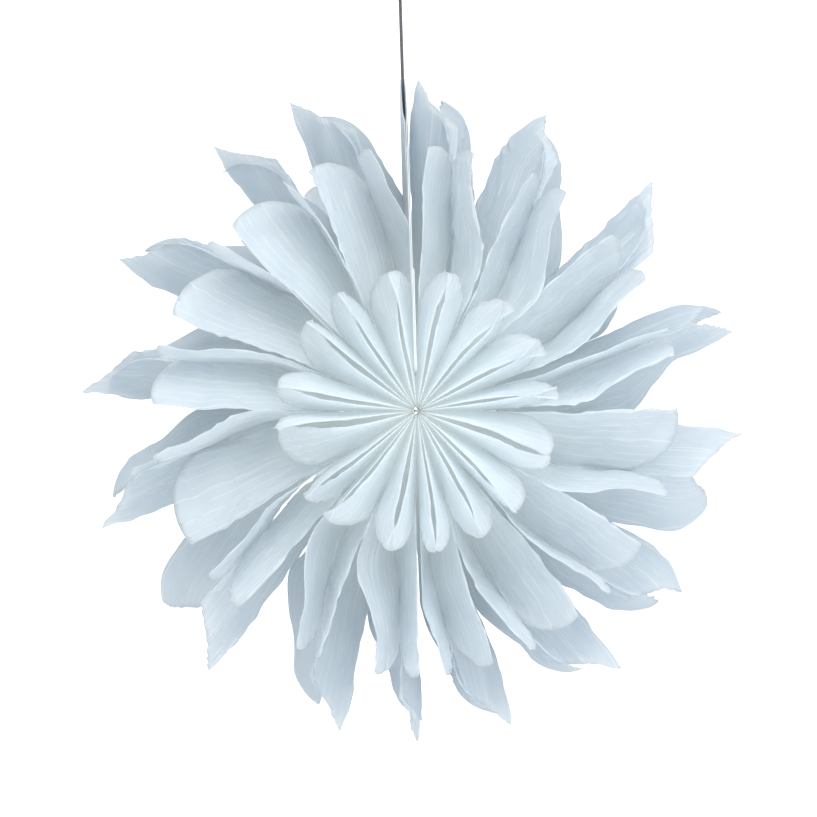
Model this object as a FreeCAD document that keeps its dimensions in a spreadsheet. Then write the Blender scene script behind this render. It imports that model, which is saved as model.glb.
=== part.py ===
import FreeCAD, Part
import math
import os
import Sketcher

# A pleated paper star lantern. Die-cut paper leaves fan out round a horizontal axis (Y), which
# runs front to back through the star's centre, and close into a full circle at the top, where
# two stiff end boards meet on either side of the cord. Inside, a carrier wire along the axis
# hangs on the lampholder. The origin is the middle of the ceiling bracket, +Z is up.

V = FreeCAD.Vector
X_AXIS = V(1, 0, 0)
Y_AXIS = V(0, 1, 0)
Z_AXIS = V(0, 0, 1)

LEAVES_PER_SIDE = 16
PAD_HEIGHTS = (150, 250)
FILAMENTS = 4

SIZES = {
    # the leaf, cut flat: reach outwards from the fan's axis, depth along it
    "drop": 560,
    "tip_reach": 400,
    "cut_foot_reach": 338,
    "cut_foot_depth": 112,
    "notch_one_reach": 196,
    "notch_one_depth": 117,
    "foot_two_reach": 262,
    "foot_two_depth": 122,
    "tip_two_reach": 302,
    "tip_two_depth": 232,
    "tip_two_round": 100,
    "notch_two_reach": 84,
    "notch_two_depth": 240,
    "foot_three_reach": 128,
    "foot_three_depth": 246,
    "tip_three_reach": 156,
    "tip_three_depth": 330,
    "tip_three_round": 75,
    "spine_reach": 12,
    "spine_depth": 300,
    "paper_thickness": 0.3,
    "lamp_space_reach": 102,
    "lamp_space_half_depth": 44,
    # the end boards and their closure
    "board_thickness": 1.0,
    "board_spine_reach": 45,
    "seam_clearance": 0.3,
    "pad_size": 16,
    "pad_depth_place": 70,
    "pad_gap": 0.3,
    # the cord and the ceiling end
    "cord_diameter": 4,
    "cord_bore_clearance": 0.3,
    "bracket_length": 64,
    "bracket_width": 14,
    "bracket_thickness": 1.5,
    "bracket_hole_diameter": 5,
    "bracket_hole_spacing": 48,
    "anchor_diameter": 12,
    "anchor_height": 12,
    "terminal_length": 13,
    "terminal_width": 12,
    "terminal_gap": 1,
    "terminal_height": 10,
    "canopy_diameter": 80,
    "canopy_height": 54,
    "canopy_wall": 1.2,
    "canopy_ceiling_gap": 0.5,
    "canopy_corner": 9,
    "bush_diameter": 11,
    "bush_flange_diameter": 16,
    "bush_flange_height": 3,
    "bush_inner_height": 7,
    "grub_screw_diameter": 1.8,
    "grub_screw_end_gap": 0.4,
    # the lampholder, stacked downwards from the cord's end
    "cord_end_height": 96,
    "grip_diameter": 11,
    "grip_height": 12,
    "cap_top_diameter": 15,
    "cap_diameter": 28,
    "cap_height": 20,
    "skirt_height": 22,
    "skirt_wall": 2.2,
    "flange_diameter": 35,
    "flange_thickness": 1.8,
    "flange_drop": 10,
    "shade_ring_diameter": 41,
    "shade_ring_height": 5,
    "shade_ring_clearance": 0.3,
    "insert_height": 5,
    "shell_bore": 14.8,
    "shell_wall": 0.4,
    "shell_height": 14,
    "contact_height": 3,
    "contact_width": 4,
    # the carrier wire
    "wire_diameter": 3,
    "wire_reach": 304,
    "wire_leg_depth": 36,
    "wire_clearance": 0.4,
    # the bulb
    "bulb_diameter": 45,
    "bulb_centre_height": 3,
    "bulb_neck_diameter": 16,
    "bulb_neck_height": 33,
    "bulb_glass_wall": 0.8,
    "bulb_cap_diameter": 14,
    "bulb_cap_height": 15,
    "bulb_tip_height": 2,
    "bulb_contact_gap": 0.3,
    "bulb_shoulder_radius": 16.2,
    "bulb_shoulder_height": 15.3,
    "filament_diameter": 1.6,
    "filament_length": 24,
    "filament_circle": 5,
    "stem_diameter": 4,
}

# The cord hangs straight: its route is two points, cord anchor and cord grip.

doc = FreeCAD.newDocument("paper_star")
sheet = doc.addObject("Spreadsheet::Sheet", "sizes")
for row, (name, value) in enumerate(SIZES.items(), start=1):
    sheet.set("A%d" % row, name)
    sheet.set("B%d" % row, str(value))
    sheet.setAlias("B%d" % row, name)
doc.recompute()

parts = []


def size(name):
    return sheet.get(name)


def bind(thing, **formulas):
    """Tie properties to the sheet: reach__x stands for the property path reach.x."""
    for path, formula in formulas.items():
        thing.setExpression(path.replace("__", "."), formula)
    return thing


def finished(thing, label):
    """Name a sub-part and put it on the list that is checked and written."""
    thing.Label = label
    parts.append(thing)
    return thing


def cylinder(name, radius, height, base_x="0", base_y="0", base_z="0", axis=Z_AXIS):
    """A cylinder whose sizes and place are formulas; base_z is counted from the origin."""
    thing = doc.addObject("Part::Cylinder", name)
    thing.Placement.Rotation = FreeCAD.Rotation(Z_AXIS, axis)
    bind(thing, Radius=radius, Height=height)
    bind(thing, Placement__Base__x=base_x, Placement__Base__y=base_y, Placement__Base__z=base_z)
    return thing


def box(name, length, width, height, base_x, base_y, base_z):
    thing = doc.addObject("Part::Box", name)
    bind(thing, Length=length, Width=width, Height=height)
    bind(thing, Placement__Base__x=base_x, Placement__Base__y=base_y, Placement__Base__z=base_z)
    return thing


def cut(name, base, tool):
    thing = doc.addObject("Part::Cut", name)
    thing.Base = base
    thing.Tool = tool
    return thing


def fuse(name, *pieces):
    thing = doc.addObject("Part::MultiFuse", name)
    thing.Shapes = list(pieces)
    return thing


def group(name, *pieces):
    """Separate solids that share one node."""
    thing = doc.addObject("Part::Compound", name)
    thing.Links = list(pieces)
    return thing


def plane_of(body, role):
    return next(item for item in body.Origin.OriginFeatures if item.Role == role)


# ---- the paper leaves and end boards -------------------------------------------------------

# Corners of the die's front half, from the lamp space round to the outer tip: the cells that
# hold each one's reach and depth, and the radius that the edge after it is rounded to.
HALF_OUTLINE = (
    ("lamp_space_reach", "lamp_space_half_depth", None),
    ("spine_reach", "lamp_space_half_depth", None),
    ("spine_reach", "spine_depth", None),
    ("tip_three_reach", "tip_three_depth", "tip_three_round"),
    ("foot_three_reach", "foot_three_depth", None),
    ("notch_two_reach", "notch_two_depth", None),
    ("tip_two_reach", "tip_two_depth", "tip_two_round"),
    ("foot_two_reach", "foot_two_depth", None),
    ("notch_one_reach", "notch_one_depth", None),
    ("cut_foot_reach", "cut_foot_depth", None),
)
X_AXIS_LINE = -1


def add_edge(sketch, start, end, rounding):
    """One edge of the outline, straight or rounded outwards: its number, first and last end."""
    if rounding is None:
        return sketch.addGeometry(Part.LineSegment(start, end)), 1, 2
    radius = size(rounding)
    chord = end - start
    inward = V(chord.y, -chord.x, 0).normalize()
    rise = math.sqrt(radius * radius - (chord.Length / 2) ** 2)
    centre = (start + end) * 0.5 + inward * rise
    first = start - centre
    last = end - centre
    circle = Part.Circle(centre, Z_AXIS, radius)
    edge = sketch.addGeometry(Part.ArcOfCircle(
        circle, math.atan2(last.y, last.x), math.atan2(first.y, first.x)))
    mark = sketch.addConstraint(Sketcher.Constraint("Radius", edge, radius))
    sketch.setExpression("Constraints[%d]" % mark, "sizes." + rounding)
    return edge, 2, 1


def pin(sketch, edge, end, reach, depth=None):
    """Hold one end of an edge at its reach and depth from the sheet."""
    for kind, cell in (("DistanceX", reach), ("DistanceY", depth)):
        if cell is not None:
            mark = sketch.addConstraint(Sketcher.Constraint(kind, -1, 1, edge, end, size(cell)))
            sketch.setExpression("Constraints[%d]" % mark, "sizes." + cell)


def draw_leaf(sketch, spine_cell):
    """The die's outline: three lobes to the front, three to the back, and the lamp space."""
    half = [(spine_cell if reach == "spine_reach" else reach, depth, rounding)
            for reach, depth, rounding in HALF_OUTLINE]
    corners = [V(size(reach), size(depth), 0) for reach, depth, _ in half]
    corners.append(V(size("tip_reach"), 0, 0))
    corners += [V(corner.x, -corner.y, 0) for corner in reversed(corners[:-1])]
    roundings = [rounding for _, _, rounding in half]
    roundings += roundings[::-1] + [None]

    edges = [add_edge(sketch, corner, corners[(index + 1) % len(corners)], roundings[index])
             for index, corner in enumerate(corners)]
    for index, (edge, _, last) in enumerate(edges):
        following, first, _ = edges[(index + 1) % len(edges)]
        sketch.addConstraint(Sketcher.Constraint("Coincident", edge, last, following, first))
    for index, (reach, depth, _) in enumerate(half):
        edge, first, _ = edges[index]
        partner, partner_first, _ = edges[len(edges) - 1 - index]
        pin(sketch, edge, first, reach, depth)
        sketch.addConstraint(Sketcher.Constraint(
            "Symmetric", edge, first, partner, partner_first, X_AXIS_LINE))
    tip_edge, first, _ = edges[len(half)]
    sketch.addConstraint(Sketcher.Constraint("PointOnObject", tip_edge, first, X_AXIS_LINE))
    pin(sketch, tip_edge, first, "tip_reach")


def leaf(label, angle_formula, thickness="sizes.paper_thickness", spine_cell="spine_reach",
         shift_x="0"):
    """One sheet cut with the die, standing on the fan's axis at an angle above +X."""
    body = doc.addObject("PartDesign::Body", label)
    sketch = body.newObject("Sketcher::SketchObject", label + "_outline")
    sketch.AttachmentSupport = (plane_of(body, "XY_Plane"), "")
    sketch.MapMode = "FlatFace"
    draw_leaf(sketch, spine_cell)
    pad = body.newObject("PartDesign::Pad", label + "_sheet")
    pad.Profile = sketch
    pad.Midplane = True
    bind(pad, Length=thickness)
    body.Placement.Rotation = FreeCAD.Rotation(-Y_AXIS, 90)
    bind(body, Placement__Rotation__Angle=angle_formula)
    bind(body, Placement__Base__x=shift_x, Placement__Base__z="-sizes.drop")
    return finished(body, label)


def paper_fan():
    """Leaves at equal angles from the top down each side, none of them in the seam."""
    step = 180 / LEAVES_PER_SIDE
    for number in range(1, LEAVES_PER_SIDE + 1):
        from_top = (number - 0.5) * step
        leaf("leaf_right_%02d" % number, "%.4f deg" % (90 - from_top))
        leaf("leaf_left_%02d" % number, "%.4f deg" % (90 + from_top))


SEAM_HALF = "(sizes.cord_diameter / 2 + sizes.seam_clearance)"


def end_boards():
    shift = SEAM_HALF + " + sizes.board_thickness / 2"
    for side, sign in (("right", ""), ("left", "-")):
        leaf("end_board_" + side, "90 deg", "sizes.board_thickness", "board_spine_reach",
             "%s(%s)" % (sign, shift))


def closure_pads(label, sign):
    """Square self-adhesive pads on a board's inner face: one kind hooks, the other loops."""
    pads = []
    thickness = "(%s - sizes.pad_gap / 2)" % SEAM_HALF
    base_x = "sizes.pad_gap / 2" if sign > 0 else "-%s" % SEAM_HALF
    for height in PAD_HEIGHTS:
        for end in (-1, 1):
            pads.append(box(
                "%s_%d_%s" % (label, height, "front" if end < 0 else "back"),
                thickness, "sizes.pad_size", "sizes.pad_size", base_x,
                "%d * sizes.pad_depth_place - sizes.pad_size / 2" % end,
                "%d - sizes.drop" % height))
    return finished(group(label, *pads), label)


# ---- the carrier wire ----------------------------------------------------------------------

FLANGE_UNDER = ("(-sizes.drop + sizes.cord_end_height - sizes.grip_height - sizes.cap_height"
                " - sizes.flange_drop - sizes.flange_thickness)")
RING_HEIGHT = "(%s - sizes.wire_clearance / 2 - sizes.wire_diameter / 2)" % FLANGE_UNDER


def carrier_wire():
    """Wire along the spine hole, up both sides of the bulb to an eye round the lampholder."""
    radius = "sizes.wire_diameter / 2"
    eye = doc.addObject("Part::Torus", "wire_eye")
    bind(eye, Radius1="sizes.cap_diameter / 2 + sizes.wire_clearance + sizes.wire_diameter / 2",
         Radius2=radius, Placement__Base__z=RING_HEIGHT)
    eye_radius = "(sizes.cap_diameter / 2 + sizes.wire_clearance + sizes.wire_diameter / 2)"
    pieces = [eye]
    for name, sign in (("front", "-"), ("back", "")):
        outward = Y_AXIS * (-1 if sign else 1)
        leg_y = "%ssizes.wire_leg_depth" % sign
        pieces.append(cylinder(
            "wire_spine_" + name, radius, "sizes.wire_reach - sizes.wire_leg_depth",
            base_y=leg_y, base_z="-sizes.drop", axis=outward))
        pieces.append(cylinder(
            "wire_leg_" + name, radius, "%s + sizes.drop" % RING_HEIGHT,
            base_y=leg_y, base_z="-sizes.drop"))
        pieces.append(cylinder(
            "wire_arm_" + name, radius, "sizes.wire_leg_depth - %s" % eye_radius,
            base_y="%s%s" % (sign, eye_radius), base_z=RING_HEIGHT, axis=outward))
        for place, height in (("low", "-sizes.drop"), ("high", RING_HEIGHT)):
            bend = doc.addObject("Part::Sphere", "wire_bend_%s_%s" % (name, place))
            bind(bend, Radius=radius, Placement__Base__y=leg_y, Placement__Base__z=height)
            pieces.append(bend)
    return finished(fuse("carrier_wire", *pieces), "carrier_wire")


# ---- the cord and the ceiling end ----------------------------------------------------------

ANCHOR_FOOT = "(-sizes.bracket_thickness - sizes.anchor_height)"


def ceiling_end():
    bar = box("bracket_bar", "sizes.bracket_length", "sizes.bracket_width",
              "sizes.bracket_thickness", "-sizes.bracket_length / 2",
              "-sizes.bracket_width / 2", "-sizes.bracket_thickness")
    holes = [
        cylinder("bracket_hole_" + name, "sizes.bracket_hole_diameter / 2",
                 "3 * sizes.bracket_thickness",
                 base_x="%ssizes.bracket_hole_spacing / 2" % sign,
                 base_z="-2 * sizes.bracket_thickness")
        for name, sign in (("right", ""), ("left", "-"))]
    finished(cut("ceiling_bracket", bar, group("bracket_holes", *holes)), "ceiling_bracket")
    finished(cylinder("cord_anchor", "sizes.anchor_diameter / 2", "sizes.anchor_height",
                      base_z=ANCHOR_FOOT), "cord_anchor")
    finished(box("terminal_block", "sizes.terminal_length", "sizes.terminal_width",
                 "sizes.terminal_height", "sizes.anchor_diameter / 2 + sizes.terminal_gap",
                 "-sizes.terminal_width / 2",
                 "-sizes.bracket_thickness - sizes.terminal_height"), "terminal_block")


def straight_cord():
    return finished(
        cylinder("cord", "sizes.cord_diameter / 2",
                 "%s + sizes.drop - sizes.cord_end_height" % ANCHOR_FOOT,
                 base_z="-sizes.drop + sizes.cord_end_height"), "cord")


def canopy():
    """A round cup, open to the ceiling, with a flanged bush for the cord in its floor."""
    body = doc.addObject("PartDesign::Body", "canopy_cup")
    sketch = body.newObject("Sketcher::SketchObject", "canopy_profile")
    sketch.AttachmentSupport = (plane_of(body, "XZ_Plane"), "")
    sketch.MapMode = "FlatFace"
    outer = size("canopy_diameter") / 2
    top = -size("canopy_ceiling_gap")
    foot = top - size("canopy_height")
    hole = size("bush_diameter") / 2
    wall = size("canopy_wall")
    corner = size("canopy_corner")
    corners = [V(hole, foot, 0), V(outer - corner, foot, 0), V(outer, foot + corner, 0),
               V(outer, top, 0), V(outer - wall, top, 0), V(outer - wall, foot + corner, 0),
               V(outer - corner, foot + wall, 0), V(hole, foot + wall, 0)]
    centre = V(outer - corner, foot + corner, 0)
    outside = Part.ArcOfCircle(Part.Circle(centre, Z_AXIS, corner), -math.pi / 2, 0)
    inside = Part.ArcOfCircle(Part.Circle(centre, Z_AXIS, corner - wall), -math.pi / 2, 0)
    edges = [
        (sketch.addGeometry(Part.LineSegment(corners[0], corners[1])), 1, 2),
        (sketch.addGeometry(outside), 1, 2),
        (sketch.addGeometry(Part.LineSegment(corners[2], corners[3])), 1, 2),
        (sketch.addGeometry(Part.LineSegment(corners[3], corners[4])), 1, 2),
        (sketch.addGeometry(Part.LineSegment(corners[4], corners[5])), 1, 2),
        (sketch.addGeometry(inside), 2, 1),
        (sketch.addGeometry(Part.LineSegment(corners[6], corners[7])), 1, 2),
        (sketch.addGeometry(Part.LineSegment(corners[7], corners[0])), 1, 2),
    ]
    for index, (edge, _, last) in enumerate(edges):
        following, first, _ = edges[(index + 1) % len(edges)]
        joined = "Tangent" if index in (0, 1, 4, 5) else "Coincident"
        sketch.addConstraint(Sketcher.Constraint(joined, edge, last, following, first))
    for index in (0, 6):
        sketch.addConstraint(Sketcher.Constraint("Horizontal", edges[index][0]))
    for index in (2, 4, 7):
        sketch.addConstraint(Sketcher.Constraint("Vertical", edges[index][0]))
    sketch.addConstraint(Sketcher.Constraint("Horizontal", edges[3][0]))
    rules = (
        ("DistanceX", (-1, 1, edges[2][0], 2), outer, "sizes.canopy_diameter / 2"),
        ("DistanceX", (-1, 1, edges[0][0], 1), hole, "sizes.bush_diameter / 2"),
        ("DistanceX", (edges[3][0], 2, edges[3][0], 1), wall, "sizes.canopy_wall"),
        ("DistanceY", (edges[0][0], 1, edges[7][0], 1), wall, "sizes.canopy_wall"),
        ("DistanceY", (edges[2][0], 2, -1, 1), -top, "sizes.canopy_ceiling_gap"),
        ("DistanceY", (edges[0][0], 1, -1, 1), -foot,
         "sizes.canopy_ceiling_gap + sizes.canopy_height"),
    )
    for kind, places, value, formula in rules:
        mark = sketch.addConstraint(Sketcher.Constraint(kind, *places, value))
        sketch.setExpression("Constraints[%d]" % mark, formula)
    mark = sketch.addConstraint(Sketcher.Constraint("Radius", edges[1][0], corner))
    sketch.setExpression("Constraints[%d]" % mark, "sizes.canopy_corner")
    turned = body.newObject("PartDesign::Revolution", "canopy_turned")
    turned.Profile = sketch
    turned.ReferenceAxis = (sketch, ["V_Axis"])
    turned.Angle = 360
    finished(body, "canopy_cup")

    floor = "(-sizes.canopy_ceiling_gap - sizes.canopy_height)"
    barrel = cylinder("bush_barrel", "sizes.bush_diameter / 2",
                      "sizes.canopy_wall + sizes.bush_inner_height", base_z=floor)
    flange = cylinder("bush_flange", "sizes.bush_flange_diameter / 2",
                      "sizes.bush_flange_height",
                      base_z="%s - sizes.bush_flange_height" % floor)
    bore = cylinder("bush_bore", "sizes.cord_diameter / 2 + sizes.cord_bore_clearance",
                    "3 * sizes.bush_inner_height",
                    base_z="%s - 2 * sizes.bush_flange_height" % floor)
    screw_z = "%s - sizes.bush_flange_height / 2" % floor
    screw_hole = cylinder("bush_screw_hole", "sizes.grub_screw_diameter / 2",
                          "sizes.bush_flange_diameter", base_z=screw_z, axis=X_AXIS)
    solid = fuse("bush_solid", barrel, flange)
    finished(cut("canopy_bush", solid, group("bush_holes", bore, screw_hole)), "canopy_bush")
    start = "sizes.cord_diameter / 2 + sizes.cord_bore_clearance + sizes.grub_screw_end_gap"
    finished(cylinder("canopy_grub_screw", "sizes.grub_screw_diameter / 2",
                      "sizes.bush_flange_diameter / 2 - (%s) - sizes.grub_screw_end_gap" % start,
                      base_x=start, base_z=screw_z, axis=X_AXIS), "canopy_grub_screw")


# ---- the lampholder ------------------------------------------------------------------------

GRIP_FOOT = "(-sizes.drop + sizes.cord_end_height - sizes.grip_height)"
CAP_FOOT = "(%s - sizes.cap_height)" % GRIP_FOOT
SKIRT_BORE = "(sizes.cap_diameter / 2 - sizes.skirt_wall)"


def lampholder():
    finished(cylinder("cord_grip", "sizes.grip_diameter / 2", "sizes.grip_height",
                      base_z=GRIP_FOOT), "cord_grip")
    cone = doc.addObject("Part::Cone", "cap_cone")
    bind(cone, Radius1="sizes.cap_diameter / 2", Radius2="sizes.cap_top_diameter / 2",
         Height="sizes.cap_height", Placement__Base__z=CAP_FOOT)
    finished(cone, "lampholder_cap")

    skirt_foot = "%s - sizes.skirt_height" % CAP_FOOT
    outside = cylinder("skirt_outside", "sizes.cap_diameter / 2", "sizes.skirt_height",
                       base_z=skirt_foot)
    flange = cylinder("skirt_flange", "sizes.flange_diameter / 2", "sizes.flange_thickness",
                      base_z="%s - sizes.flange_drop - sizes.flange_thickness" % CAP_FOOT)
    bore = cylinder("skirt_bore", SKIRT_BORE, "sizes.skirt_height", base_z=skirt_foot)
    solid = fuse("skirt_solid", outside, flange)
    finished(cut("lampholder_skirt", solid, bore), "lampholder_skirt")

    ring_top = "(%s - sizes.wire_diameter / 2 - sizes.wire_clearance / 2)" % RING_HEIGHT
    ring = cylinder("ring_outside", "sizes.shade_ring_diameter / 2", "sizes.shade_ring_height",
                    base_z="%s - sizes.shade_ring_height" % ring_top)
    hole = cylinder("ring_hole", "sizes.cap_diameter / 2 + sizes.shade_ring_clearance / 2",
                    "2 * sizes.shade_ring_height",
                    base_z="%s - 1.5 * sizes.shade_ring_height" % ring_top)
    finished(cut("shade_ring", ring, hole), "shade_ring")

    finished(cylinder("holder_insert", SKIRT_BORE, "sizes.insert_height",
                      base_z="%s - sizes.insert_height" % CAP_FOOT), "holder_insert")
    shell_foot = "%s - sizes.insert_height - sizes.shell_height" % CAP_FOOT
    tube = cylinder("shell_outside", "sizes.shell_bore / 2 + sizes.shell_wall",
                    "sizes.shell_height", base_z=shell_foot)
    inner = cylinder("shell_inside", "sizes.shell_bore / 2", "sizes.shell_height",
                     base_z=shell_foot)
    finished(cut("screw_shell", tube, inner), "screw_shell")
    finished(box("centre_contact", "sizes.contact_width", "sizes.contact_width",
                 "sizes.contact_height", "-sizes.contact_width / 2",
                 "-sizes.contact_width / 2",
                 "%s - sizes.insert_height - sizes.contact_height" % CAP_FOOT),
             "centre_contact")


# ---- the bulb ------------------------------------------------------------------------------

TIP_TOP = "(%s - sizes.insert_height - sizes.contact_height - sizes.bulb_contact_gap)" % CAP_FOOT


def bulb():
    """Globe with a neck, hollow, closed by the screw cap; filaments stand on a glass stem."""
    centre_z = "(-sizes.drop + sizes.bulb_centre_height)"
    cap_foot = "(%s - sizes.bulb_tip_height - sizes.bulb_cap_height)" % TIP_TOP

    def globe(name, shrink):
        ball = doc.addObject("Part::Sphere", name + "_ball")
        bind(ball, Radius="sizes.bulb_diameter / 2 - %s" % shrink,
             Placement__Base__z=centre_z)
        shoulder = doc.addObject("Part::Cone", name + "_shoulder")
        bind(shoulder, Radius1="sizes.bulb_shoulder_radius - %s" % shrink,
             Radius2="sizes.bulb_neck_diameter / 2 - %s" % shrink,
             Height="sizes.bulb_neck_height - sizes.bulb_centre_height - sizes.bulb_shoulder_height",
             Placement__Base__z="%s + sizes.bulb_shoulder_height" % centre_z)
        return fuse(name, ball, shoulder)

    hollow = globe("bulb_hollow", "sizes.bulb_glass_wall")
    finished(cut("bulb_glass", globe("bulb_outside", "0"), hollow), "bulb_glass")
    glass_top = "(-sizes.drop + sizes.bulb_neck_height)"
    finished(cylinder("bulb_cap", "sizes.bulb_cap_diameter / 2",
                      "%s - sizes.bulb_tip_height - %s" % (TIP_TOP, glass_top),
                      base_z=glass_top), "bulb_cap")
    finished(cylinder("bulb_contact", "sizes.contact_width / 2", "sizes.bulb_tip_height",
                      base_z="%s - sizes.bulb_tip_height" % TIP_TOP), "bulb_contact")
    stem_foot = "(%s - sizes.filament_length / 2)" % centre_z
    finished(cylinder("bulb_stem", "sizes.stem_diameter / 2",
                      "%s - %s" % (glass_top, stem_foot), base_z=stem_foot), "bulb_stem")
    filaments = []
    for number in range(FILAMENTS):
        angle = 2 * math.pi * (number + 0.5) / FILAMENTS
        filaments.append(cylinder(
            "filament_%d" % number, "sizes.filament_diameter / 2", "sizes.filament_length",
            base_x="%.6f * sizes.filament_circle" % math.cos(angle),
            base_y="%.6f * sizes.filament_circle" % math.sin(angle), base_z=stem_foot))
    finished(group("bulb_filaments", *filaments), "bulb_filaments")


def check_and_write():
    doc.recompute()
    for thing in doc.Objects:
        if "Invalid" in thing.State or "Error" in thing.State:
            raise RuntimeError("%s failed: %s" % (thing.Label, thing.State))
    os.makedirs("parts", exist_ok=True)
    for thing in parts:
        shape = thing.Shape
        if shape.isNull() or not shape.isValid() or not shape.Solids:
            raise RuntimeError("%s has no sound shape" % thing.Label)
    for thing in parts:
        thing.Shape.exportStep("parts/%s.step" % thing.Label)
    print("wrote %d parts" % len(parts))


paper_fan()
end_boards()
closure_pads("loop_pads", 1)
closure_pads("hook_pads", -1)
carrier_wire()
ceiling_end()
straight_cord()
canopy()
lampholder()
bulb()
check_and_write()
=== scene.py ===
import math

import bpy
import numpy as np
from mathutils import Matrix, Vector
from mathutils.geometry import delaunay_2d_cdt


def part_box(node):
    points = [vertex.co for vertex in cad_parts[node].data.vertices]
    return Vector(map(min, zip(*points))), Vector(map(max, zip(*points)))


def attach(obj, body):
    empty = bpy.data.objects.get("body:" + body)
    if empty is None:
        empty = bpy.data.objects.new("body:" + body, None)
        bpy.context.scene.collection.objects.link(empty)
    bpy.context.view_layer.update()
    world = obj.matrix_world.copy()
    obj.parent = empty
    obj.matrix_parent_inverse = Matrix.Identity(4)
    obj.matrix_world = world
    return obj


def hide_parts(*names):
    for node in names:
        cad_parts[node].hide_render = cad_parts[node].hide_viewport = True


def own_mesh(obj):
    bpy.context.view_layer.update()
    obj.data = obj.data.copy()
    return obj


# A pleated paper star lantern on a straight cord. The paper leaves are one die-cut outline,
# meshed once and bent leaf by leaf: neighbours meet along glue lines near the axis, and their
# outer lobes stand free as blades that lean the same way round.

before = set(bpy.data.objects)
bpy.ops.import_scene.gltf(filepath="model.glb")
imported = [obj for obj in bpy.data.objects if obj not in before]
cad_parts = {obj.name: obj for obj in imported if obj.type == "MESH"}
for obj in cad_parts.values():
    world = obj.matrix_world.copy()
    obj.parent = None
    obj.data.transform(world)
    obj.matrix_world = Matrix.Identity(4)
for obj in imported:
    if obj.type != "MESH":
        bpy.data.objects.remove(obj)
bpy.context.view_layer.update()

LEAVES_PER_SIDE = 16
LEAF_COUNT = 2 * LEAVES_PER_SIDE

# The die's outline for the front half, as (reach from the axis, depth along it), in metres.
TIP_ONE = (0.400, 0.0)
CUT_FOOT = (0.338, 0.112)
NOTCH_ONE = (0.196, 0.117)
FOOT_TWO = (0.262, 0.122)
TIP_TWO = (0.302, 0.232)
NOTCH_TWO = (0.084, 0.240)
FOOT_THREE = (0.128, 0.246)
TIP_THREE = (0.156, 0.330)
SPINE_END = (0.004, 0.300)
LAMP_SPACE = (0.102, 0.044)
TIP_TWO_ROUND = 0.100
TIP_THREE_ROUND = 0.075
MESH_STEP = 0.0075
PAPER_THICKNESS = 0.0003
# Paper turned by more than this between two faces is a fold, with a crisp edge.
FOLD_EDGE = math.radians(24.0)

# Glue and fold lines run out from the axis at these depths; odd ones join the other neighbour.
FOLD_DEPTHS = (0.0, 0.1145, 0.236, 0.330)
# Sideways width of a blade between two folds, far from the axis.
BLADE_WIDTH = 0.058
# Nearer the axis a blade takes a share of the gap to the next one. The share grows from the
# first to the second value between these reaches.
GAP_SHARES = (0.56, 0.82)
GAP_SHARE_REACHES = (0.07, 0.20)
# How sharply one rule for the width gives way to the other, and the least reach it is asked at.
SPAN_SHARPNESS = 4.0
LEAST_REACH = 0.01

# Past the glue, each narrow leaf's edge tucks under the broad blade by this many degrees.
TUCK_UNDER = 1.3
TUCK_REACHES = (0.17, 0.22)
# A narrow leaf's blades leave the glue between these reaches, in the first and second tier.
FIRST_FREE = (0.235, 0.330)
SECOND_FREE = (0.165, 0.265)
# Where the second tier's free blade stands, as a share of the way from the edge of the broad
# blade before it to the next tip of the second tier.
SECOND_SHARE = 0.3
# The third tier's widths beside the usual one, and how far its tips stand from the second
# tier's, in degrees, each drawn between two limits.
THIRD_WIDTHS = (0.6, 1.2)
THIRD_OFFSETS = (-4.0, 2.0)

# Where the outer tip of each broad leaf stands, clockwise from the top, in degrees above +X.
TIP_ANGLES = (89.4, 70.5, 43.0, 20.0, -5.5, -31.8, -53.4, -74.5,
              -90.8, -104.7, -130.1, -160.5, -184.2, -207.9, -234.1, -248.8)
# Each broad blade's width beside the usual one.
BLADE_SHARES = (1.0, 1.15, 1.1, 0.5, 1.05, 1.2, 1.2, 0.95,
                0.45, 0.95, 1.0, 0.95, 0.95, 1.2, 1.05, 1.15)
# Where the outer tip of the narrow leaf after each broad one stands.
NARROW_TIPS = (74.5, 55.5, 33.3, 10.2, -27.6, -47.0, -66.6, -84.6,
               -96.1, -118.1, -151.0, -173.5, -193.8, -220.8, -242.0, -262.5)
# The second tier's tips, which lie nearer the viewer.
SECOND_TIPS = (87.0, 63.2, 41.0, 16.2, -0.8, -31.5, -52.0, -74.8,
               -91.5, -113.8, -133.0, -149.8, -182.0, -203.0, -225.8, -246.2)
# The paper beside the seam keeps this far from the middle, outside the end boards, which start
# at the inner reach. It makes room for them from a little nearer the axis on.
SEAM_ROOM = 0.0042
# Straight below the axis each half keeps to its own side, so that either can fold alone.
FOOT_ROOM = 0.0006
BOARD_INNER_REACH = 0.045
BOARD_ROOM_START = 0.036
# The end boards come together between these depths, to this distance from the middle.
PINCH_START = 0.080
PINCH_END = 0.112
PINCHED_APART = 0.0008
PINCHED_ROOM = 0.0018
# A scored line down the middle of each outer blade lifts it by this much.
CREASE_RISE = 0.0045
# Long ribs of crushed paper run out along the blades, usually about this high.
RIB_HEIGHT = 0.0013
# Lobes roll sideways beyond these reaches, one for each tier; the outer tips' roll radius for
# each broad leaf and each narrow one, and how far round a roll can go, in radians.
ROLL_STARTS = (0.325, 0.235, 0.120)
BROAD_ROLLS = (0.60, 0.080, 0.35, 0.090, 0.70, 0.090, 0.70, 0.50,
               0.60, 0.70, 0.60, 0.60, 0.70, 0.20, 0.60, 0.70)
NARROW_ROLLS = (0.060, 0.055, 0.060, 0.20, 0.055, 0.060, 0.055, 0.065,
                0.060, 0.055, 0.065, 0.060, 0.050, 0.060, 0.050, 0.055)
ROLL_LIMIT = 2.0
# Roll radius of the second and third tier, each drawn between two limits. Narrow leaves start to
# roll this much nearer the axis.
SECOND_ROLLS = (0.25, 1.00)
THIRD_ROLLS = (0.08, 0.50)
NARROW_ROLLS_EARLIER = 0.012
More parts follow.
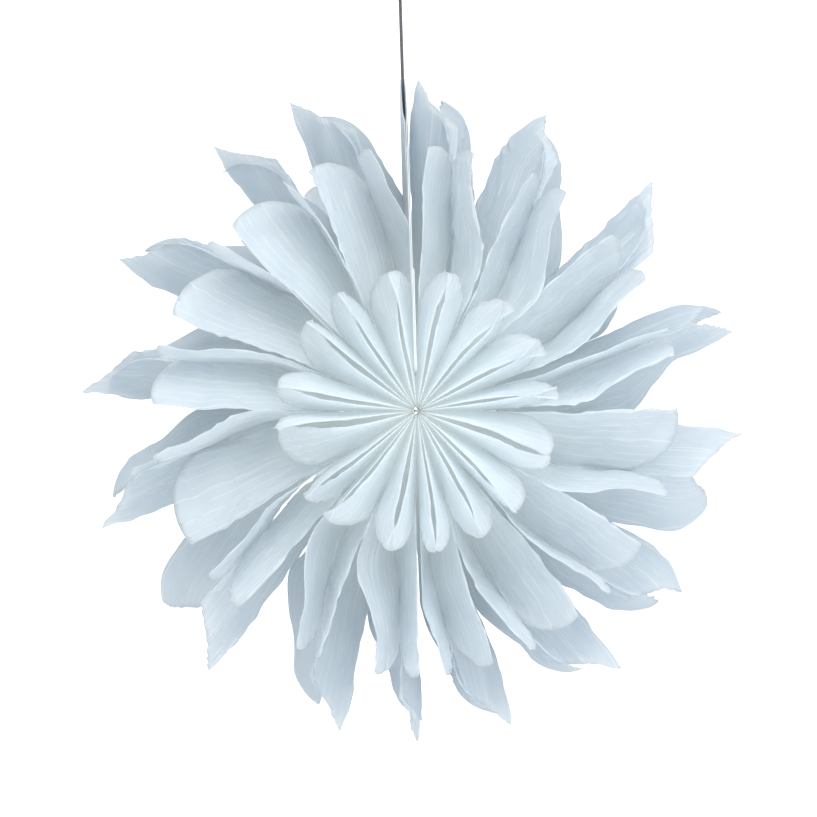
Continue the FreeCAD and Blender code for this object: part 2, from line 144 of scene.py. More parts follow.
# A tier ends this far past its notch's depth, so that the notch's own points stay in it.
TIER_ROOM = 0.0003
# How far the back of a leaf may differ from its front, in degrees at each fold.
BACK_SHIFT = 2.0
# Largest softening of the folds, lean of the free ends in degrees and sway along the axis.
MOST_EASE = 0.12
MOST_LEAN = 1.2
MOST_SWAY = 0.010
# Paper that goes sideways is drawn in along the axis. This is worked out in steps, and none of
# them shrinks to less than this share.
DRAW_IN_STEPS = 28
LEAST_DEPTH_SHARE = 0.25
# Crumples: how many waves, their longest and shortest, and their height. Large ones, then fine.
LARGE_CRUMPLES = (6, 0.34, 0.16, 0.0030)
FINE_CRUMPLES = (6, 0.09, 0.05, 0.0009)
# Distance from rib to rib and height beside the usual one, each drawn between two limits, and
# how far ribs wander with the crumples, in radians a metre.
RIB_LENGTHS = (0.0165, 0.028)
RIB_HEIGHTS = (0.4, 1.2)
RIB_WANDER = 3000.0
# Reaches between which these come in: crumples and ribs, the scored line, the lean and the sway.
CRUMPLE_REACHES = (0.02, 0.20)
CREASE_REACHES = (0.05, 0.18)
LEAN_REACHES = (0.18, 0.40)
SWAY_REACHES = (0.20, 0.40)
# Depths between which a leaf passes from its front folds to its back folds.
BACK_DEPTHS = (-0.02, 0.05)
# First seeds of the random draws: for a pair of leaves, for one leaf and for its crumples.
PAIR_SEED = 70
LEAF_SEED = 400
LARGE_CRUMPLE_SEED = 900
FINE_CRUMPLE_SEED = 1300

# The lamp is lit: painted glow, light that the paper gives off of its own in place of the lamp's
# light through it, fades out from the axis to this reach.
GLOW_REACH = 0.32
GLOW_POWER = 1.3
GLOW_AT_AXIS = 0.27


def spine_centre():
    """The star's middle: on the carrier wire's axis, halfway between the leaf tips."""
    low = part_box("leaf_right_%02d" % LEAVES_PER_SIDE)[0]
    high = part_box("leaf_right_01")[1]
    return Vector((0.0, 0.0, (low[2] + high[2]) / 2))


CENTRE = spine_centre()


# ---- materials -----------------------------------------------------------------------------


class Shader:
    """A small helper that makes nodes and joins them by name."""

    def __init__(self, name):
        self.material = bpy.data.materials.new(name)
        self.material.use_nodes = True
        self.tree = self.material.node_tree
        self.tree.nodes.clear()
        self.output = self.add("ShaderNodeOutputMaterial")

    def add(self, kind, settings=None, **inputs):
        node = self.tree.nodes.new(kind)
        for name, value in (settings or {}).items():
            setattr(node, name, value)
        for name, value in inputs.items():
            self.feed(node.inputs[name.replace("_", " ")], value)
        return node

    def feed(self, socket, value):
        if isinstance(value, bpy.types.NodeSocket):
            self.tree.links.new(value, socket)
        else:
            socket.default_value = value

    def ramp(self, factor, *stops):
        node = self.add("ShaderNodeValToRGB")
        self.feed(node.inputs["Fac"], factor)
        elements = node.color_ramp.elements
        while len(elements) < len(stops):
            elements.new(0.5)
        for element, (place, colour) in zip(elements, stops):
            element.position = place
            element.color = tuple(colour) + (1.0,)
        return node.outputs["Color"]

    def noise(self, scale, detail=4.0, roughness=0.55, vector=None):
        node = self.add("ShaderNodeTexNoise", Scale=scale, Detail=detail, Roughness=roughness)
        source = vector or self.add("ShaderNodeTexCoord").outputs["Object"]
        self.feed(node.inputs["Vector"], source)
        return node.outputs["Fac"]

    def math(self, operation, *values):
        node = self.add("ShaderNodeMath", {"operation": operation})
        for socket, value in zip(node.inputs, values):
            self.feed(socket, value)
        return node.outputs[0]

    def bump(self, height, strength, distance):
        node = self.add("ShaderNodeBump", Strength=strength, Distance=distance)
        self.feed(node.inputs["Height"], height)
        return node.outputs["Normal"]

    def finish(self, shader):
        self.tree.links.new(shader, self.output.inputs["Surface"])
        return self.material


# Pale lines along the blades: scored creases in relief, painted paler as a highlight where light
# catches and shines through them. How far they wander, then spacing and width of the scored lines
# and of the fine ones between them, which come and go in patches.
LINE_WANDER = 0.012
SCORED_SPACING = 0.0285
SCORED_WIDTH = 0.0011
FINE_SPACING = 0.0062
FINE_WIDTH = 0.0009
PATCH_LIMIT = 0.44


def paper_material(name, let_through):
    """Thin white paper: cloudy fibres, faint scored lines along the blades painted pale as a
    highlight, light through it, and a painted glow near the axis.
    """
    s = Shader(name)
    cloud = s.noise(22.0, 5.0, 0.6)
    fibre = s.noise(900.0, 3.0, 0.7)
    flat = s.add("ShaderNodeUVMap", {"uv_map": "flat_cut"}).outputs["UV"]
    axes = s.add("ShaderNodeSeparateXYZ", Vector=flat)
    wander = s.noise(6.0, 2.0, 0.5, flat)
    depth = s.math("MULTIPLY_ADD", wander, LINE_WANDER, axes.outputs["Y"])
    scored = s.math("LESS_THAN", s.math("PINGPONG", depth, SCORED_SPACING), SCORED_WIDTH)
    fine = s.math("LESS_THAN", s.math("PINGPONG", depth, FINE_SPACING), FINE_WIDTH)
    patches = s.math("GREATER_THAN", s.noise(14.0, 2.0, 0.5, flat), PATCH_LIMIT)
    patchy = s.math("MULTIPLY", fine, patches)
    white = s.ramp(cloud, (0.30, (0.84, 0.885, 0.920)), (0.72, (0.89, 0.93, 0.955)))
    # The lines' near-white colour is a painted highlight along the creases; the same lines also
    # raise the bump.
    light = s.add("ShaderNodeMix", {"data_type": "RGBA"})
    lines_and_highlight = s.math("MAXIMUM", s.math("MULTIPLY", scored, 0.8), s.math("MULTIPLY", patchy, 0.6))
    s.feed(light.inputs["Factor"], lines_and_highlight)
    s.feed(light.inputs[6], white)
    s.feed(light.inputs[7], (0.985, 0.995, 1.0, 1.0))
    colour = light.outputs[2]
    relief = s.math("ADD", s.math("MULTIPLY", fibre, 0.35), lines_and_highlight)
    normal = s.bump(relief, 0.5, 0.0008)
    # Painted glow: the paper gives off warm light of its own near the axis, fading outwards, in
    # place of the lamp's light shining through it.
    nearness = s.math("MULTIPLY_ADD", axes.outputs["X"], -1.0 / GLOW_REACH, 1.0)
    falloff = s.math("POWER", s.math("MAXIMUM", nearness, 0.0), GLOW_POWER)
    glow = s.math("MULTIPLY", falloff, GLOW_AT_AXIS)
    front = s.add("ShaderNodeBsdfPrincipled", Roughness=0.62, Base_Color=colour, Normal=normal,
                  Emission_Strength=glow)
    front.inputs["Emission Color"].default_value = (1.0, 0.985, 0.86, 1.0)
    front.inputs["Specular IOR Level"].default_value = 0.25
    through = s.add("ShaderNodeBsdfTranslucent", Color=colour, Normal=normal)
    mix = s.add("ShaderNodeMixShader", Fac=let_through)
    s.tree.links.new(front.outputs[0], mix.inputs[1])
    s.tree.links.new(through.outputs[0], mix.inputs[2])
    return s.finish(mix.outputs[0])


# How much darker a plain finish gets at its darkest.
COLOUR_DRIFT = 0.06


def plain_material(name, colour, roughness, grain=250.0, depth=0.00008, coat=0.0):
    """A solid finish with a fine grain, slight colour drift and uneven gloss."""
    s = Shader(name)
    drift = s.noise(30.0, 4.0)
    dark = tuple(channel * (1.0 - COLOUR_DRIFT) for channel in colour)
    tint = s.ramp(drift, (0.25, dark), (0.75, colour))
    gloss = s.ramp(s.noise(60.0, 3.0), (0.2, (roughness * 0.85,) * 3),
                   (0.8, (min(1.0, roughness * 1.2),) * 3))
    normal = s.bump(s.noise(grain * 4, 3.0), 0.3, depth)
    shader = s.add("ShaderNodeBsdfPrincipled", Base_Color=tint, Roughness=gloss, Normal=normal)
    shader.inputs["Coat Weight"].default_value = coat
    return s.finish(shader.outputs[0])


def drawn_metal(name, colour, roughness, along=(1.0, 1.0, 0.03)):
    """Metal with fine drawing lines along one axis."""
    s = Shader(name)
    place = s.add("ShaderNodeMapping", Scale=along)
    s.feed(place.inputs["Vector"], s.add("ShaderNodeTexCoord").outputs["Object"])
    lines = s.noise(1800.0, 3.0, 0.6, place.outputs["Vector"])
    dark = tuple(channel * 0.82 for channel in colour)
    tint = s.ramp(lines, (0.3, dark), (0.7, colour))
    gloss = s.ramp(lines, (0.2, (roughness * 0.8,) * 3), (0.8, (roughness * 1.25,) * 3))
    shader = s.add("ShaderNodeBsdfPrincipled", Base_Color=tint, Roughness=gloss,
                   Normal=s.bump(lines, 0.15, 0.00005))
    shader.inputs["Metallic"].default_value = 1.0
    return s.finish(shader.outputs[0])


def glass_material():
    """Clear glass with a little haze. A thin wall hardly bends light, so the index is low."""
    s = Shader("bulb_glass")
    haze = s.ramp(s.noise(40.0, 3.0), (0.3, (0.02,) * 3), (0.8, (0.07,) * 3))
    shader = s.add("ShaderNodeBsdfPrincipled", Roughness=haze, IOR=1.02)
    shader.inputs["Base Color"].default_value = (0.98, 0.97, 0.94, 1.0)
    shader.inputs["Transmission Weight"].default_value = 1.0
    return s.finish(shader.outputs[0])


def filament_material():
    """Phosphor-coated LED filaments, lit."""
    s = Shader("filament")
    grain = s.noise(700.0, 2.0)
    tint = s.ramp(grain, (0.3, (0.95, 0.74, 0.36)), (0.7, (1.0, 0.86, 0.55)))
    shader = s.add("ShaderNodeBsdfPrincipled", Base_Color=tint, Roughness=0.7)
    shader.inputs["Emission Color"].default_value = (1.0, 0.93, 0.74, 1.0)
    shader.inputs["Emission Strength"].default_value = 60.0
    return s.finish(shader.outputs[0])


# Threads of each way round the cord, and how tightly they wind along it, in radians a metre.
BRAID_THREADS = 8.0
BRAID_WINDING = 1400.0


def cord_material():
    """Dark grey braided jacket: two crossing sets of threads round the cord."""
    s = Shader("cord_jacket")
    place = s.add("ShaderNodeTexCoord").outputs["Object"]
    axes = s.add("ShaderNodeSeparateXYZ", Vector=place)
    round_cord = s.math("ARCTAN2", axes.outputs["Y"], axes.outputs["X"])
    along = s.math("MULTIPLY", axes.outputs["Z"], BRAID_WINDING)
    strands = []
    for threads in (BRAID_THREADS, -BRAID_THREADS):
        phase = s.math("MULTIPLY_ADD", round_cord, threads, along)
        strands.append(s.math("SINE", phase))
    weave = s.math("MAXIMUM", *strands)
    tint = s.ramp(weave, (0.1, (0.035, 0.036, 0.040)), (0.9, (0.15, 0.155, 0.165)))
    shader = s.add("ShaderNodeBsdfPrincipled", Base_Color=tint, Roughness=0.75,
                   Normal=s.bump(weave, 0.5, 0.0003))
    shader.inputs["Sheen Weight"].default_value = 0.3
    return s.finish(shader.outputs[0])


# ---- the paper leaves ----------------------------------------------------------------------


# Inner mesh points keep this share of a step from the cut's edge.
EDGE_SHARE = 0.55


def round_arc(start, end, radius):
    """Points along the arc that rounds a lobe outwards between two corners, end left out."""
    a = np.array(start)
    b = np.array(end)
    chord = b - a
    length = np.linalg.norm(chord)
    across = np.array((chord[1], -chord[0])) / length
    centre = (a + b) / 2 + across * math.sqrt(radius ** 2 - length ** 2 / 4)
    first = math.atan2(*(a - centre)[::-1])
    last = math.atan2(*(b - centre)[::-1])
    turn = (last - first + math.pi) % (2 * math.pi) - math.pi
    count = max(2, int(abs(turn) * radius / MESH_STEP))
    angles = first + turn * np.arange(count) / count
    return [tuple(centre + radius * np.array((math.cos(t), math.sin(t)))) for t in angles]


def straight(start, end):
    """Evenly spaced points from one corner towards the next, the next left out."""
    count = max(1, int(math.dist(start, end) / MESH_STEP))
    a = np.array(start)
    b = np.array(end)
    return [tuple(a + (b - a) * index / count) for index in range(count)]


def leaf_outline(spine_reach):
    """The whole cut as a closed loop of points: front half, then its mirror image."""
    lamp_edge = (spine_reach, LAMP_SPACE[1])
    spine_end = (spine_reach, SPINE_END[1])
    half = straight(LAMP_SPACE, lamp_edge)
    half += straight(lamp_edge, spine_end)
    half += straight(spine_end, TIP_THREE)
    half += round_arc(TIP_THREE, FOOT_THREE, TIP_THREE_ROUND)
    half += straight(FOOT_THREE, NOTCH_TWO)
    half += straight(NOTCH_TWO, TIP_TWO)
    half += round_arc(TIP_TWO, FOOT_TWO, TIP_TWO_ROUND)
    half += straight(FOOT_TWO, NOTCH_ONE)
    half += straight(NOTCH_ONE, CUT_FOOT)
    half += straight(CUT_FOOT, TIP_ONE)
    half.append(TIP_ONE)
    mirrored = [(reach, -depth) for reach, depth in reversed(half[:-1])]
    return half + mirrored


def mesh_rows():
    """Depths of the mesh rows: every fold and every blade's middle line has a row on it."""
    front = [0.0]
    for low, high in zip(FOLD_DEPTHS, FOLD_DEPTHS[1:]):
        count = 2 * round((high - low) / (2 * MESH_STEP))
        front += list(np.linspace(low, high, count + 1)[1:])
    return [-depth for depth in reversed(front[1:])] + front


def flat_leaf(spine_reach):
    """The cut triangulated: points (reach, depth) and triangles."""
    outline = leaf_outline(spine_reach)
    loop = np.array(outline)
    following = np.roll(loop, -1, axis=0)
    inner = []
    for number, depth in enumerate(mesh_rows()):
        shift = MESH_STEP / 2 if number % 2 else 0.0
        for reach in np.arange(spine_reach + shift, TIP_ONE[0], MESH_STEP):
            inner.append((reach, depth))
    inner = np.array(inner)
    away = np.full(len(inner), np.inf)
    crossings = np.zeros(len(inner), dtype=int)
    for a, b in zip(loop, following):
        edge = b - a
        along = np.clip(((inner - a) @ edge) / (edge @ edge), 0, 1)
        away = np.minimum(away, np.linalg.norm(inner - a - along[:, None] * edge, axis=1))
        if a[1] != b[1]:
            spans = (a[1] > inner[:, 1]) != (b[1] > inner[:, 1])
            cross_at = a[0] + (inner[:, 1] - a[1]) * edge[0] / edge[1]
            crossings += spans & (inner[:, 0] < cross_at)
    inner = inner[(away > MESH_STEP * EDGE_SHARE) & (crossings % 2 == 1)]
    points = [Vector(point) for point in outline] + [Vector(point) for point in inner]
    edges = [(index, (index + 1) % len(outline)) for index in range(len(outline))]
    found = delaunay_2d_cdt(points, edges, [], 1, 1e-6)
    flat = np.array([tuple(point) for point in found[0]])
    triangles = [tuple(face) for face in found[2]]
    return flat, triangles


def smooth(low, high, value):
    """0 below low, 1 above high, eased between."""
    s = np.clip((value - low) / (high - low), 0.0, 1.0)
    return s * s * (3.0 - 2.0 * s)


def waves(seed, flat, count, longest, shortest):
    """A smooth uneven field over the leaf from a few waves, about -1 to 1."""
    draw = np.random.default_rng(seed)
    total = np.zeros(len(flat))
    for _ in range(count):
        length = draw.uniform(shortest, longest)
        turn = draw.uniform(0, math.pi)
        phase = draw.uniform(0, 2 * math.pi)
        place = flat[:, 0] * math.cos(turn) + flat[:, 1] * math.sin(turn)
        total += np.sin(2 * math.pi * place / length + phase)
    return total / math.sqrt(count)


def blade_span(reach, gap, width):
    """Degrees between two folds: a share of the gap near the axis, a fixed width further out."""
    least, most = GAP_SHARES
    near = (least + (most - least) * smooth(*GAP_SHARE_REACHES, reach)) * gap
    far = np.degrees(width / np.maximum(reach, LEAST_REACH))
    return (near ** -SPAN_SHARPNESS + far ** -SPAN_SHARPNESS) ** (-1.0 / SPAN_SHARPNESS)


def fold_angles(number, reach, draw):
    """Azimuth in degrees of each fold line of a leaf, at each point's reach."""
    pair = number // 2
    tip = TIP_ANGLES[pair]
    second = SECOND_TIPS[pair]
    following = (TIP_ANGLES + (TIP_ANGLES[0] - 360.0,))[pair + 1]
    second_next = (SECOND_TIPS + (SECOND_TIPS[0] - 360.0,))[pair + 1]
    width = BLADE_WIDTH * BLADE_SHARES[pair]
    low = tip - blade_span(reach, tip - following, width)
    draw.random()  # Passed over, so that the two draws after it keep their values.
    third = second + draw.uniform(*THIRD_OFFSETS)
    usual_span = blade_span(reach, second - second_next, BLADE_WIDTH)
    third_low = third - usual_span * draw.uniform(*THIRD_WIDTHS)
    if number % 2 == 0:
        level = np.ones(len(reach))
        return [level * tip, low, level * second, third_low]
    free = smooth(*FIRST_FREE, reach)
    first = following * (1 - free) + NARROW_TIPS[pair] * free
    free_second = smooth(*SECOND_FREE, reach)
    free_place = low + SECOND_SHARE * (second_next - low)
    behind = second_next * (1 - free_second) + free_place * free_second
    tucked = low + TUCK_UNDER * smooth(*TUCK_REACHES, reach)
    return [first, tucked, behind, third_low]


def between_folds(depth, angles, ease):
    """Azimuth across the leaf: from fold line to fold line, with a soft S between them."""
    folds = np.array(FOLD_DEPTHS)
    place = np.clip(np.abs(depth), folds[0], folds[-1] - 1e-6)
    cell = np.searchsorted(folds, place, side="right") - 1
    share = (place - folds[cell]) / (folds[cell + 1] - folds[cell])
    share = share - ease * np.sin(2 * math.pi * share) / (2 * math.pi)
    rows = np.arange(len(depth))
    table = np.stack(angles)
    return table[cell, rows] * (1 - share) + table[cell + 1, rows] * share


def draw_in(azimuth, reach, depth):
    """Depth left to each point once the paper before it has gone sideways over the folds."""
    length = depth / DRAW_IN_STEPS
    drawn_in = np.zeros(len(depth))
    for step in range(DRAW_IN_STEPS):
        here = azimuth(depth * step / DRAW_IN_STEPS)
        there = azimuth(depth * (step + 1) / DRAW_IN_STEPS)
        across = reach * (there - here)
        left_over = np.maximum(length ** 2 - across ** 2, (LEAST_DEPTH_SHARE * length) ** 2)
        drawn_in += np.sign(depth) * np.sqrt(left_over)
    return drawn_in


def roll_blades(number, reach, depth, draw):
    """Reach and sideways offset of each point once the lobes have rolled."""
    broad = number % 2 == 0
    outer = (BROAD_ROLLS if broad else NARROW_ROLLS)[number // 2]
    radii = (outer, draw.uniform(*SECOND_ROLLS), draw.uniform(*THIRD_ROLLS))
    tier_ends = np.array((NOTCH_ONE[1], NOTCH_TWO[1])) + TIER_ROOM
    tier = np.searchsorted(tier_ends, np.abs(depth))
    radius = np.array(radii)[tier]
    start = np.array(ROLL_STARTS)[tier] - (0.0 if broad else NARROW_ROLLS_EARLIER)
    beyond = np.clip(reach - start, 0.0, radius * ROLL_LIMIT)
    rolled_reach = np.minimum(reach, start) + radius * np.sin(beyond / radius)
    way = -1.0 if broad else 1.0
    sideways = way * radius * (1.0 - np.cos(beyond / radius))
    return rolled_reach, sideways


def crumples(seed, flat, look):
    """Uneven height over the leaf, in metres."""
    count, longest, shortest, height = look
    return waves(seed, flat, count, longest, shortest) * height


def surface_height(number, flat, draw):
    """Crumples, ribs and the scored line of each outer blade, as a height off the paper."""
    reach = flat[:, 0]
    depth = flat[:, 1]
    crumple = crumples(LARGE_CRUMPLE_SEED + number, flat, LARGE_CRUMPLES)
    crumple += crumples(FINE_CRUMPLE_SEED + number, flat, FINE_CRUMPLES)
    rib_length = draw.uniform(*RIB_LENGTHS)
    start = draw.uniform(0, 6)
    ribs = np.sin(2 * math.pi * depth / rib_length + start + RIB_WANDER * crumple)
    crumple += RIB_HEIGHT * draw.uniform(*RIB_HEIGHTS) * ribs
    crumple *= smooth(*CRUMPLE_REACHES, reach)
    cell = np.clip(np.abs(depth) / FOLD_DEPTHS[1], 0.0, 1.0)
    crease = CREASE_RISE * (1.0 - np.abs(2.0 * cell - 1.0)) * smooth(*CREASE_REACHES, reach)
    return crumple + crease


def keep_clear(number, reach, depth, x, z):
    """Hold a leaf on its own half: off the end boards above, off the other half below."""
    pinch = smooth(PINCH_START, PINCH_END, np.abs(depth))
    beside_board = SEAM_ROOM + (PINCHED_ROOM - SEAM_ROOM) * pinch
    beside_seam = beside_board * smooth(BOARD_ROOM_START, BOARD_INNER_REACH, reach)
    room = np.where(z > 0, beside_seam, FOOT_ROOM)
    return np.maximum(x, room) if number < LEAVES_PER_SIDE else np.minimum(x, -room)


def bend_leaf(number, flat):
    """Where the points of the flat cut stand in space for one leaf."""
    pair_draw = np.random.default_rng(PAIR_SEED + number // 2)
    draw = np.random.default_rng(LEAF_SEED + number)
    reach = flat[:, 0]
    depth = flat[:, 1]
    front_angles = fold_angles(number, reach, pair_draw)
    shifts = draw.uniform(-BACK_SHIFT, BACK_SHIFT, len(FOLD_DEPTHS))
    back_angles = [fold + shift for fold, shift in zip(front_angles, shifts)]
    ease = draw.uniform(0.0, MOST_EASE)
    lean = draw.uniform(-MOST_LEAN, MOST_LEAN)
    sway = draw.uniform(-MOST_SWAY, MOST_SWAY)
    free = smooth(*LEAN_REACHES, reach)

    def azimuth(at_depth):
        front = between_folds(at_depth, front_angles, ease)
        back = between_folds(at_depth, back_angles, ease)
        behind = smooth(*BACK_DEPTHS, at_depth)
        return np.radians(front * (1 - behind) + back * behind + lean * free)

    angle = azimuth(depth)
    rolled_reach, sideways = roll_blades(number, reach, depth, draw)
    offset = surface_height(number, flat, draw) + sideways
    deep = draw_in(azimuth, reach, depth) + sway * smooth(*SWAY_REACHES, reach)
    x = rolled_reach * np.cos(angle) - offset * np.sin(angle)
    z = rolled_reach * np.sin(angle) + offset * np.cos(angle)
    x = keep_clear(number, reach, depth, x, z)
    return np.stack((CENTRE.x + x, CENTRE.y + deep, CENTRE.z + z), axis=1)


def leaf_object(name, points, flat, triangles, material, thickness=PAPER_THICKNESS):
    """One leaf as a smooth mesh with crisp folds, with its flat cut as the UV map."""
    mesh = bpy.data.meshes.new(name)
    mesh.from_pydata([tuple(point) for point in points], [], triangles)
    mesh.polygons.foreach_set("use_smooth", [True] * len(mesh.polygons))
    mesh.set_sharp_from_angle(angle=FOLD_EDGE)
    layer = mesh.uv_layers.new(name="flat_cut")
    corners = np.empty(len(mesh.loops), dtype=int)
    mesh.loops.foreach_get("vertex_index", corners)
    layer.data.foreach_set("uv", flat[corners].ravel())
    mesh.materials.append(material)
    thing = bpy.data.objects.new(name, mesh)
    bpy.context.collection.objects.link(thing)
    solid = thing.modifiers.new("thickness", "SOLIDIFY")
    solid.thickness = thickness
    solid.offset = 0.0
    return thing


def paper_fan(material):
    """Every leaf, clockwise from the top, on the body of the CAD leaf that it stands for."""
    flat, triangles = flat_leaf(SPINE_END[0])
    for number in range(LEAF_COUNT):
        on_right = number < LEAVES_PER_SIDE
        side = "right" if on_right else "left"
        place = number + 1 if on_right else LEAF_COUNT - number
        node = "leaf_%s_%02d" % (side, place)
        points = bend_leaf(number, flat)
        thing = leaf_object("paper_" + node, points, flat, triangles, material)
        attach(thing, "%s_leaf_%02d" % (side, place))
        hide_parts(node)
        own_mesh(thing)


def end_boards(material):
    """The two card leaves at the seam, pinched together in front of and behind the pads."""
    flat, triangles = flat_leaf(BOARD_INNER_REACH)
    reach = flat[:, 0]
    depth = flat[:, 1]
    for side, way in (("right", 1.0), ("left", -1.0)):
        node = "end_board_" + side
        low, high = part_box(node)
        apart = abs(low[0] + high[0]) / 2
        thickness = high[0] - low[0]
        pinch = smooth(PINCH_START, PINCH_END, np.abs(depth))
        beside = apart - (apart - PINCHED_APART) * pinch
        points = np.stack((way * beside, CENTRE.y + depth, CENTRE.z + reach), axis=1)
        thing = leaf_object("card_" + node, points, flat, triangles, material, thickness)
        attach(thing, side + "_board")
        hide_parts(node)


# ---- cord, hardware and stage --------------------------------------------------------------


# The cord's control points, as shares of the way down.
CORD_SHARES = (0.0, 0.34, 0.67, 1.0)


def straight_cord(material):
    """The cord from its anchor at the ceiling to the lampholder's grip."""
    low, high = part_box("cord")
    radius = (high[0] - low[0]) / 2
    curve = bpy.data.curves.new("cord_run", "CURVE")
    curve.dimensions = "3D"
    curve.bevel_depth = radius
    curve.bevel_resolution = 6
    curve.use_fill_caps = True
    spline = curve.splines.new("NURBS")
    spline.points.add(len(CORD_SHARES) - 1)
    for point, share in zip(spline.points, CORD_SHARES):
        point.co = (0.0, 0.0, high[2] + (low[2] - high[2]) * share, 1.0)
    spline.order_u = 3
    spline.use_endpoint_u = True
    curve.materials.append(material)
    thing = bpy.data.objects.new("lamp_cord", curve)
    bpy.context.collection.objects.link(thing)
    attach(thing, "ceiling_end")
    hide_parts("cord")


def dress_nodes(finishes):
    """Give every CAD node that stays its finish."""
    for node, material in finishes.items():
        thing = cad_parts[node]
        thing.data.materials.clear()
        thing.data.materials.append(material)


# The stage: how far the floor lies under the star's middle, then the sweep's half width, the wall's
# place and height, and the radius between floor and wall. The wall stands further back than a
# camera that looks at the star from behind.
FLOOR_DROP = 1.6
STAGE_HALF_WIDTH = 19.0
WALL_BACK = 8.0
WALL_RISE = 14.0
SWEEP_RADIUS = 1.5
SWEEP_STEPS = 12
WALL_GLOW = 0.75
FLOOR_GLOW = 0.1


def stage_finish(name, glow):
    """Matt white that adds a little light of its own."""
    finish = bpy.data.materials.new(name)
    finish.use_nodes = True
    principled = finish.node_tree.nodes["Principled BSDF"]
    principled.inputs["Base Color"].default_value = (0.95, 0.95, 0.95, 1.0)
    principled.inputs["Roughness"].default_value = 0.9
    principled.inputs["Emission Color"].default_value = (1.0, 1.0, 1.0, 1.0)
    principled.inputs["Emission Strength"].default_value = glow
    return finish


def build_stage():
    """Pale floor that sweeps up into a white wall behind the star."""
    floor_height = CENTRE.z - FLOOR_DROP
    profile = [(-STAGE_HALF_WIDTH, floor_height)]
    for index in range(SWEEP_STEPS + 1):
        turn = math.pi / 2 * index / SWEEP_STEPS
        y = WALL_BACK - SWEEP_RADIUS + SWEEP_RADIUS * math.sin(turn)
        z = floor_height + SWEEP_RADIUS - SWEEP_RADIUS * math.cos(turn)
        profile.append((y, z))
    profile.append((WALL_BACK, floor_height + WALL_RISE))
    sides = (-STAGE_HALF_WIDTH, STAGE_HALF_WIDTH)
    vertices = [(x, y, z) for y, z in profile for x in sides]
    faces = [(2 * i, 2 * i + 1, 2 * i + 3, 2 * i + 2) for i in range(len(profile) - 1)]
    mesh = bpy.data.meshes.new("stage_sweep")
    mesh.from_pydata(vertices, [], faces)
    mesh.polygons.foreach_set("use_smooth", [True] * len(mesh.polygons))
    mesh.materials.append(stage_finish("stage_white", WALL_GLOW))
    mesh.materials.append(stage_finish("stage_floor", FLOOR_GLOW))
    for polygon in mesh.polygons:
        polygon.material_index = 1 if polygon.center.z < floor_height + 0.01 else 0
    sweep = bpy.data.objects.new("stage_sweep", mesh)
    bpy.context.collection.objects.link(sweep)


# Strength of the even studio light from all sides.
STUDIO_STRENGTH = 0.59


def area_light(name, place, size, power, colour):
    """A square soft light at a place beside the star's middle, turned towards it."""
    data = bpy.data.lights.new(name, "AREA")
    data.size = size
    data.energy = power
    data.color = colour
    lamp = bpy.data.objects.new(name, data)
    lamp.location = CENTRE + Vector(place)
    lamp.rotation_euler = (-Vector(place)).to_track_quat("-Z", "Y").to_euler()
    bpy.context.collection.objects.link(lamp)


def light_scene():
    """Cool even light all round, a large soft light from above and a weaker one from the right."""
    world = bpy.data.worlds.new("studio")
    world.use_nodes = True
    background = world.node_tree.nodes["Background"]
    background.inputs["Color"].default_value = (0.93, 0.97, 1.0, 1.0)
    background.inputs["Strength"].default_value = STUDIO_STRENGTH
    bpy.context.scene.world = world
    area_light("key_light", (0.1, -3.3, 2.1), 2.2, 88.0, (1.0, 0.99, 0.97))
    area_light("fill_light", (1.6, -3.2, 0.4), 2.2, 38.0, (0.90, 0.95, 1.0))


# The camera: metres seen at the star, distance, sensor width in millimetres, tilt of the picture
# in degrees, where the star's middle stands beside the picture's, right and up in metres, and
# the turn round the star in degrees.
VIEW_HEIGHT = 0.9845
CAMERA_DISTANCE = 4.2
SENSOR_WIDTH = 36.0
CAMERA_ROLL = 1.8
STAR_OFFSET = (0.0054, -0.0030)
CAMERA_TURN = -0.8


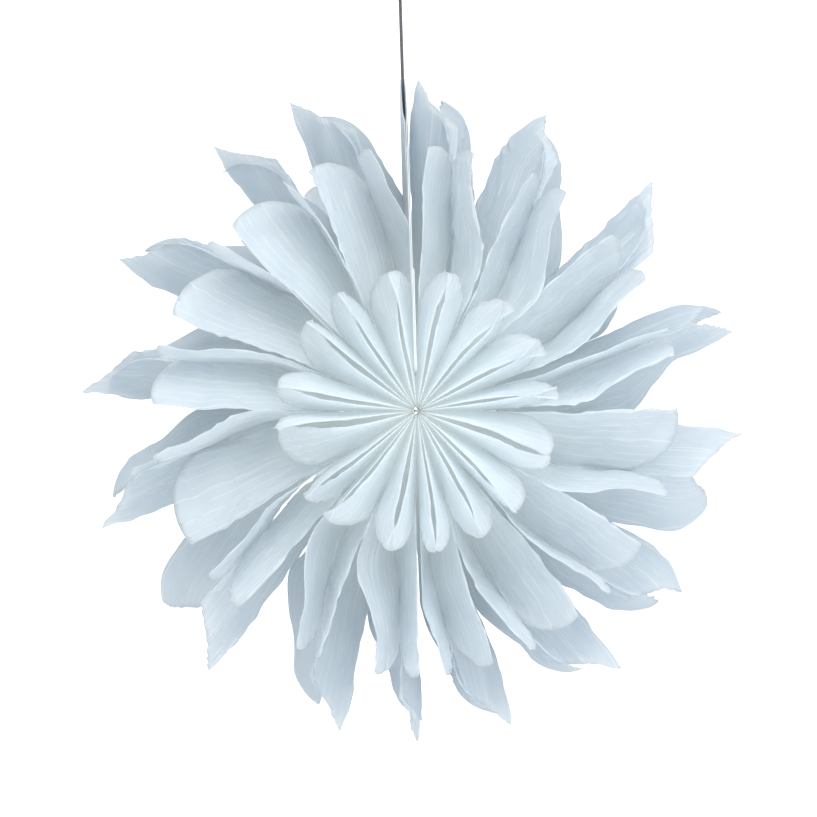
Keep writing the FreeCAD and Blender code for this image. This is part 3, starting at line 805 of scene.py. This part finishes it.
def place_camera():
    """The camera, level with the star."""
    camera = bpy.data.cameras.new("camera")
    camera.sensor_width = SENSOR_WIDTH
    camera.lens = SENSOR_WIDTH * CAMERA_DISTANCE / VIEW_HEIGHT
    eye = bpy.data.objects.new("camera", camera)
    turn = Matrix.Rotation(math.radians(CAMERA_TURN), 4, "Z")
    eye.location = CENTRE + turn @ Vector((-STAR_OFFSET[0], -CAMERA_DISTANCE, -STAR_OFFSET[1]))
    upright = turn @ Matrix.Rotation(math.radians(90.0), 4, "X")
    rolled = Matrix.Rotation(math.radians(-CAMERA_ROLL), 4, "Z")
    eye.rotation_euler = (upright @ rolled).to_euler()
    bpy.context.collection.objects.link(eye)
    bpy.context.scene.camera = eye
    bpy.context.scene.view_settings.view_transform = "Standard"


paper = paper_material("paper", 0.66)
board = paper_material("board", 0.45)
plastic = plain_material("white_plastic", (0.83, 0.83, 0.81), 0.32, coat=0.1)
loops = plain_material("loop_fabric", (0.80, 0.80, 0.79), 0.95, grain=700.0, depth=0.0006)
hooks = plain_material("hook_plastic", (0.80, 0.80, 0.79), 0.5, grain=500.0, depth=0.0006)
porcelain = plain_material("porcelain", (0.86, 0.85, 0.81), 0.4)
zinc = drawn_metal("zinc_steel", (0.60, 0.61, 0.63), 0.32, (0.03, 1.0, 1.0))
wire = drawn_metal("wire_steel", (0.46, 0.47, 0.49), 0.30, (1.0, 0.03, 1.0))
brass = drawn_metal("brass", (0.75, 0.57, 0.26), 0.28)
cap_metal = drawn_metal("bulb_cap_metal", (0.72, 0.72, 0.71), 0.30)
glass = glass_material()
filament = filament_material()

paper_fan(paper)
end_boards(board)
straight_cord(cord_material())
dress_nodes({
    "loop_pads": loops, "hook_pads": hooks,
    "ceiling_bracket": zinc, "cord_anchor": plastic, "terminal_block": plastic,
    "canopy_cup": plastic, "canopy_bush": plastic, "canopy_grub_screw": zinc,
    "cord_grip": plastic, "lampholder_cap": plastic, "lampholder_skirt": plastic,
    "shade_ring": plastic, "holder_insert": porcelain, "screw_shell": brass,
    "centre_contact": brass, "carrier_wire": wire, "bulb_glass": glass,
    "bulb_cap": cap_metal, "bulb_contact": cap_metal, "bulb_stem": glass,
    "bulb_filaments": filament,
})
build_stage()
light_scene()
place_camera()
